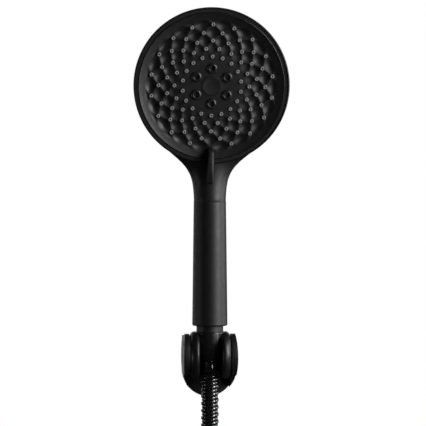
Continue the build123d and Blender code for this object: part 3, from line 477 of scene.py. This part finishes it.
for k in range(6):
    angle = math.radians(30 + 60 * k)
    nozzle = bpy.data.objects.new(f"massage_nozzle_{k}", boss.data.copy())
    bpy.context.scene.collection.objects.link(nozzle)
    nozzle.data.transform(face_place @ Matrix.Translation(
        (boss_circle * math.cos(angle), boss_circle * math.sin(angle), 0)))
    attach(nozzle, "spray_face")
    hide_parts("massage_nozzles")
bpy.data.objects.remove(boss)


# ---------------------------------------------------------------- centre cap
# A faintly dished cap, clipped over the screw in the middle of the plate.
cap_profile = [(0, -0.00255), (0.003, -0.0025), (0.0055, -0.00235), (0.0066, -0.0022), (0.0071, -0.0022),
               (0.0074, -0.0025), (0.0074, -0.00325), (0, -0.00325)]
centre_cap = turned("centre_disc", cap_profile, face_place, 64)
centre_cap.data.materials.append(matte_black)
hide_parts("centre_cap")
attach(centre_cap, "spray_face")


# ---------------------------------------------------------------- selector lever
# A thumb fin that turns the spray face. Moulded in one with rounded edges, its foot sits in the
# plate and its end reaches over the neck.
def softened(name, node, width, segments):
    """A copy of a CAD node with its sharp edges rounded."""
    made = bpy.data.objects.new(name, nodes[node].data.copy())
    bpy.context.scene.collection.objects.link(made)
    bpy.ops.object.select_all(action="DESELECT")
    bpy.context.view_layer.objects.active = made
    made.select_set(True)
    bpy.ops.object.mode_set(mode="EDIT")
    bpy.ops.mesh.select_all(action="SELECT")
    bpy.ops.mesh.remove_doubles(threshold=0.000005)
    bpy.ops.mesh.dissolve_limited(angle_limit=math.radians(1))
    bpy.ops.object.mode_set(mode="OBJECT")
    round_off = made.modifiers.new("round_off", "BEVEL")
    round_off.width = width
    round_off.segments = segments
    round_off.limit_method = "ANGLE"
    round_off.angle_limit = math.radians(30)
    bpy.ops.object.modifier_apply(modifier="round_off")
    bpy.ops.object.shade_smooth_by_angle(angle=math.radians(35))
    made.data.materials.clear()
    return made


lever = softened("lever", "selector_lever", 0.0012, 4)
lever.data.materials.append(matte_black)
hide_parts("selector_lever")
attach(lever, "spray_face")


# ---------------------------------------------------------------- wall bracket
# Shield-shaped moulding on the wall with two round cheeks, a convex cap on each. Its edges are
# eased, as the mould leaves them.
bracket = softened("bracket", "bracket_body", 0.0009, 3)
bracket.data.materials.append(matte_black)
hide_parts("bracket_body")
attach(bracket, "bracket")

caps = softened("pivot_caps", "side_caps", 0.0004, 2)
caps.data.materials.append(matte_black)
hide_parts("side_caps")
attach(caps, "bracket")


# ---------------------------------------------------------------- cradle drum
# The barrel that tilts between the cheeks. Its two shoulders are turned round, and the front
# slot lets the hose through. It is worn smoother than the bracket, where the nut slides in.
worn_black, tree, shader = material("worn_black", (0.006, 0.006, 0.006), 0.4)
tree.links.new(shades(tree, noise(tree, 500), (0.0042, 0.0042, 0.0043), (0.0075, 0.0075, 0.0077)),
               shader.inputs["Base Color"])
tree.links.new(spread(tree, noise(tree, 180, 4), 0.34, 0.46), shader.inputs["Roughness"])
bump(tree, shader, noise(tree, 4200, 2), 0.08, 0.0001)
drum = softened("drum", "cradle_drum", 0.0005, 3)
drum.data.materials.append(worn_black)
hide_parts("cradle_drum")
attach(drum, "cradle")


# ---------------------------------------------------------------- metal fittings
# Cone nut, ferrules and tail nut are brass, black plated to a soft gloss, with eased edges.
satin_plate, tree, shader = material("satin_plate", (0.006, 0.006, 0.006), 0.3)
tree.links.new(shades(tree, noise(tree, 800), (0.0045, 0.0045, 0.0047), (0.008, 0.008, 0.0083)),
               shader.inputs["Base Color"])
tree.links.new(spread(tree, noise(tree, 300), 0.26, 0.36), shader.inputs["Roughness"])
bump(tree, shader, noise(tree, 3000), 0.04, 0.0001)

for piece, node, body, paint in (
    ("nut_cone", "cone_nut", "handset", satin_plate),
    ("ferrule_top", "hose_ferrule", "hose_end", black_plate),
    ("ferrule_tail", "outlet_ferrule", "hose", black_plate),
    ("nut_tail", "outlet_nut", "outlet_nut", black_plate),
):
    fitting = softened(piece, node, 0.0003, 2)
    fitting.data.materials.append(paint)
    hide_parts(node)
    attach(fitting, body)
finish_node("swivel_nipple", black_plate)


# ---------------------------------------------------------------- ties on the folded hose
# Black nylon bands, with fine teeth across them.
tie_nylon, tree, shader = material("tie_nylon", (0.012, 0.012, 0.012), 0.42)
tree.links.new(shades(tree, noise(tree, 400), (0.009, 0.009, 0.009), (0.016, 0.016, 0.016)),
               shader.inputs["Base Color"])
tree.links.new(spread(tree, noise(tree, 260), 0.38, 0.48), shader.inputs["Roughness"])
teeth = tree.nodes.new("ShaderNodeTexWave")
teeth.inputs["Scale"].default_value = 260
place = tree.nodes.new("ShaderNodeTexCoord")
tree.links.new(place.outputs["Object"], teeth.inputs["Vector"])
bump(tree, shader, teeth.outputs["Fac"], 0.3, 0.0002)
ties = softened("ties", "hank_ties", 0.0004, 2)
ties.data.materials.append(tie_nylon)
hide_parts("hank_ties")
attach(ties, "hose")


# ---------------------------------------------------------------- inner parts
# What sits inside: natural acetal, black rubber seals, turned brass and stainless steel.
acetal, tree, shader = material("acetal", (0.62, 0.62, 0.6), 0.4)
tree.links.new(shades(tree, noise(tree, 300), (0.57, 0.57, 0.55), (0.66, 0.66, 0.64)),
               shader.inputs["Base Color"])
tree.links.new(spread(tree, noise(tree, 500), 0.34, 0.46), shader.inputs["Roughness"])
bump(tree, shader, noise(tree, 2500), 0.05, 0.0001)
seal_rubber, tree, shader = material("seal_rubber", (0.02, 0.02, 0.02), 0.6)
tree.links.new(shades(tree, noise(tree, 900), (0.015, 0.015, 0.015), (0.028, 0.028, 0.028)),
               shader.inputs["Base Color"])
tree.links.new(spread(tree, noise(tree, 700), 0.52, 0.68), shader.inputs["Roughness"])
bump(tree, shader, noise(tree, 4000), 0.1, 0.0001)
brass, tree, shader = material("brass", (0.7, 0.52, 0.25), 0.3, metallic=1.0)
tree.links.new(shades(tree, noise(tree, 300), (0.62, 0.45, 0.2), (0.76, 0.58, 0.3)),
               shader.inputs["Base Color"])
tree.links.new(spread(tree, noise(tree, 600), 0.24, 0.38), shader.inputs["Roughness"])
bump(tree, shader, noise(tree, 3000), 0.05, 0.0001)
steel, tree, shader = material("steel", (0.55, 0.55, 0.56), 0.3, metallic=1.0)
tree.links.new(shades(tree, noise(tree, 400), (0.5, 0.5, 0.51), (0.6, 0.6, 0.61)),
               shader.inputs["Base Color"])
tree.links.new(spread(tree, noise(tree, 600), 0.24, 0.38), shader.inputs["Roughness"])
bump(tree, shader, noise(tree, 3000), 0.05, 0.0001)

for paint, names in (
    (acetal, ("flow_regulator", "check_valve_cage", "check_valve_poppet", "water_tube", "diverter_base",
              "face_backplate")),
    (seal_rubber, ("nipple_o_ring", "hose_washer", "tube_o_rings", "base_o_ring", "port_seals",
                   "outlet_washer")),
    (brass, ("outlet_nipple",)),
    (steel, ("wall_plate", "plate_grub_screw", "pivot_screws", "friction_washers", "filter_screen",
             "check_valve_spring", "base_screws", "seal_springs", "detent_plunger", "detent_spring",
             "centre_screw", "screw_washer")),
):
    for name in names:
        finish_node(name, paint)
